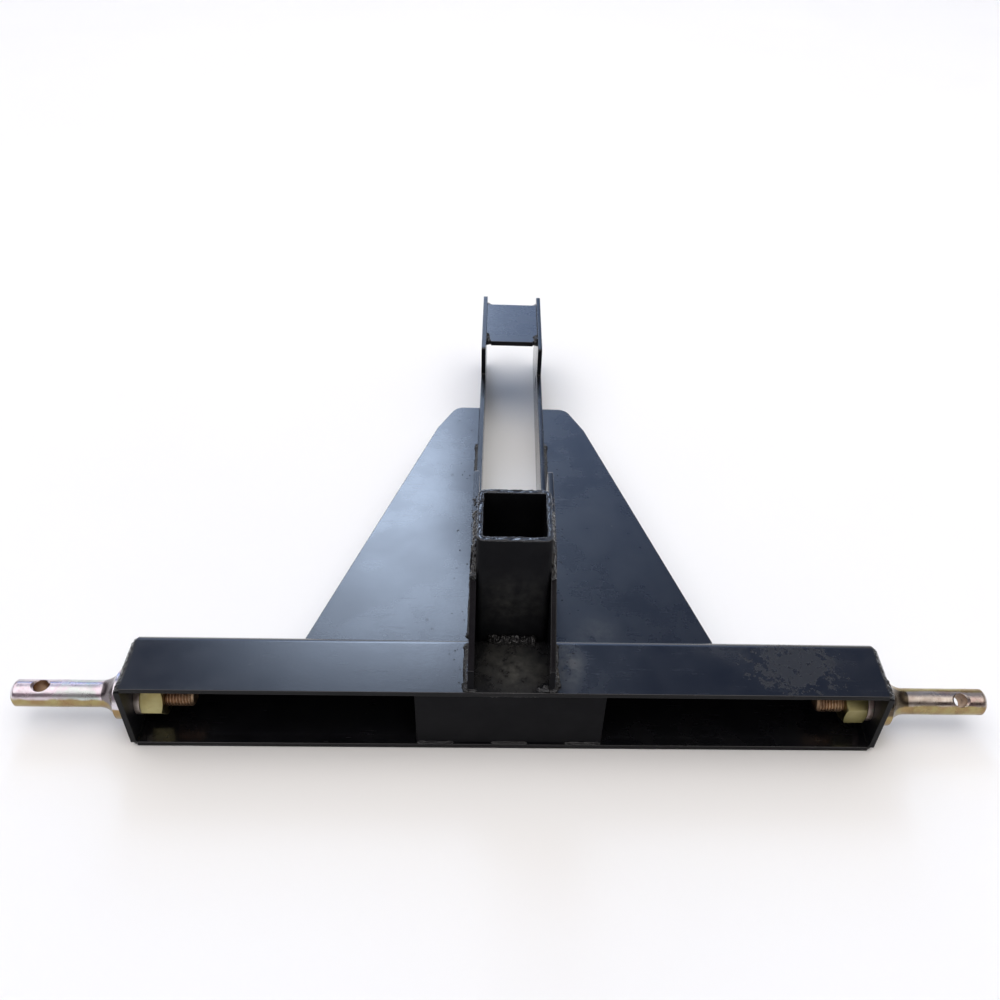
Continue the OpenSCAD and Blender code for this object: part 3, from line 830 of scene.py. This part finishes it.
RIM = TUBE_TOP - 0.0011
rim_roll("receiver_rim_outer", TUBE_OUT / 2 - 0.0007, RIM, 0.006, 0.0009, 2.0)
rim_roll("receiver_rim_inner", TUBE_OUT / 2 - WALL + 0.0006, RIM, 0.0016, 0.0008, 5.0)
rim_roll("receiver_rim_face", TUBE_OUT / 2 - WALL / 2, RIM - 0.0002, 0.0036, 0.0009, 8.0, wide=2.4, around=20)


# Floor, lights and camera

def floor_material():
    """Pale, matt and almost even."""
    made, n, links, shader = material("floor_pale")
    tone = n.mix(n.noise(3.0, 2.0), rgb(0.90, 0.90, 0.905), rgb(0.93, 0.93, 0.93))
    links.new(tone, shader.inputs["Base Color"])
    links.new(n.span(n.noise(40.0, 3.0), 0.3, 0.7, 0.85, 0.95), shader.inputs["Roughness"])
    shader.inputs["Specular IOR Level"].default_value = 0.0
    return made


def pale_floor():
    """A wide floor, a hair below the part so that the two don't share a plane."""
    work = bmesh.new()
    bmesh.ops.create_grid(work, x_segments=4, y_segments=4, size=9.0)
    mesh = bpy.data.meshes.new("floor")
    work.to_mesh(mesh)
    work.free()
    floor = bpy.data.objects.new("floor", mesh)
    bpy.context.scene.collection.objects.link(floor)
    floor.location = (0, 1.5, -0.0004)
    mesh.materials.append(floor_material())


def studio_world():
    """White walls all round. The ceiling is dimmer, with one bright window behind and a little to the left.

    Across and along say where a direction meets the ceiling, in heights of the ceiling.
    """
    world = bpy.data.worlds.new("studio")
    world.use_nodes = True
    tree = world.node_tree
    w = Nodes(tree, "Generated")
    height = w.math("MAXIMUM", w.axis("Z"), 0.04)
    across = w.math("DIVIDE", w.axis("X"), height)
    along = w.math("DIVIDE", w.axis("Y"), height)
    # Bright overhead, dim and cool behind
    back = w.mix(w.span(along, 0.7, 1.7), rgb(0.10, 0.15, 0.29), rgb(0.60, 0.85, 1.45))
    overhead = w.mix(w.span(across, -0.3, 0.3), rgb(1.7, 1.62, 1.64), rgb(1.7, 1.62, 1.56))
    turned = w.math("ADD", along, w.span(across, 0.3, 0.45, 0.0, 0.3))
    sky = w.mix(w.span(turned, 0.1, 0.62), overhead, back)
    # Bright on the left, warm and dim on the right
    left_part = w.math("MULTIPLY", w.span(across, -0.50, -0.64), w.span(along, 1.5, 1.3))
    sky = w.mix(left_part, sky, rgb(1.55, 1.5, 1.5))
    sky = w.mix(w.span(across, 0.58, 0.72), sky, rgb(0.55, 0.5, 0.42))
    # Dark in the middle of the front, over the whole front further out, and far to both sides
    aside = w.math("ABSOLUTE", across)
    middle_front = w.math("MULTIPLY", w.span(aside, 0.38, 0.26), w.span(along, -0.3, -0.5))
    far_front = w.span(along, -0.72, -0.92)
    shade = w.mix(w.span(across, -0.3, 0.3), rgb(0.22, 0.18, 0.20), rgb(0.06, 0.045, 0.045))
    sky = w.mix(w.math("MAXIMUM", middle_front, far_front), sky, shade)
    sky = w.mix(w.span(aside, 1.0, 1.2), sky, rgb(0.12, 0.10, 0.11))
    # The window, whose right edge bends
    edge = w.math("SUBTRACT", across, w.span(along, 0.84, 1.06, 0.0, -0.065))
    glow = w.math("MULTIPLY", w.span(across, -0.44, -0.12), w.span(edge, 0.05, -0.05))
    glow = w.math("MULTIPLY", glow, w.span(along, 0.64, 1.06))
    glow = w.math("MULTIPLY", glow, w.span(along, 1.38, 1.12, 0.5, 1.0))
    lit = w.mix(glow, sky, rgb(8.1, 9.8, 12.6))
    walls = w.span(w.axis("Z"), 0.36, 0.12)
    lit = w.mix(walls, lit, rgb(1.0, 1.0, 1.0))
    background = tree.nodes["Background"]
    tree.links.new(lit, background.inputs["Color"])
    background.inputs["Strength"].default_value = 1.0
    bpy.context.scene.world = world


def lamp(name, at, aim, size, power, colour):
    """A soft lamp. Gloss doesn't mirror it, since the world stands for all that gloss mirrors."""
    data = bpy.data.lights.new(name, "AREA")
    data.shape = "RECTANGLE"
    data.size, data.size_y = size
    data.energy = power
    data.color = colour
    made = bpy.data.objects.new(name, data)
    bpy.context.scene.collection.objects.link(made)
    made.location = at
    made.rotation_euler = (Vector(aim) - Vector(at)).to_track_quat("-Z", "Y").to_euler()
    made.visible_glossy = False


# Camera, fitted to the photograph: lens as a share of the sensor's width, shift, yaw, pitch and roll in
# degrees, and place
SENSOR = 36.0
LENS_SHARE = 0.96526
LENS_SHIFT = (-0.03907, -0.0461)
CAMERA_TURNS = (3.416, 39.198, -3.386)
CAMERA_PLACE = (-0.01757, -0.47734 + Y0, 0.71425)


def fitted_camera():
    """The photograph's camera."""
    data = bpy.data.cameras.new("camera")
    data.sensor_width = SENSOR
    data.lens = LENS_SHARE * SENSOR
    data.shift_x, data.shift_y = LENS_SHIFT
    camera = bpy.data.objects.new("camera", data)
    bpy.context.scene.collection.objects.link(camera)
    yaw, pitch, roll = (math.radians(v) for v in CAMERA_TURNS)
    ahead = Vector((math.sin(yaw) * math.cos(pitch), math.cos(yaw) * math.cos(pitch), -math.sin(pitch)))
    level = Vector((math.cos(yaw), -math.sin(yaw), 0.0))
    down = ahead.cross(level)
    right = math.cos(roll) * level + math.sin(roll) * down
    below = -math.sin(roll) * level + math.cos(roll) * down
    turn = Matrix((right, -below, -ahead)).transposed()
    camera.matrix_world = Matrix.Translation(CAMERA_PLACE) @ turn.to_4x4()
    bpy.context.scene.camera = camera


pale_floor()
studio_world()
lamp("top_soft", (0.1, 0.7, 3.4), (0.1, 0.7, 0.0), (4.5, 5.0), 59.0, (1.0, 0.985, 0.90))
fitted_camera()
bpy.context.scene.view_settings.view_transform = "Standard"
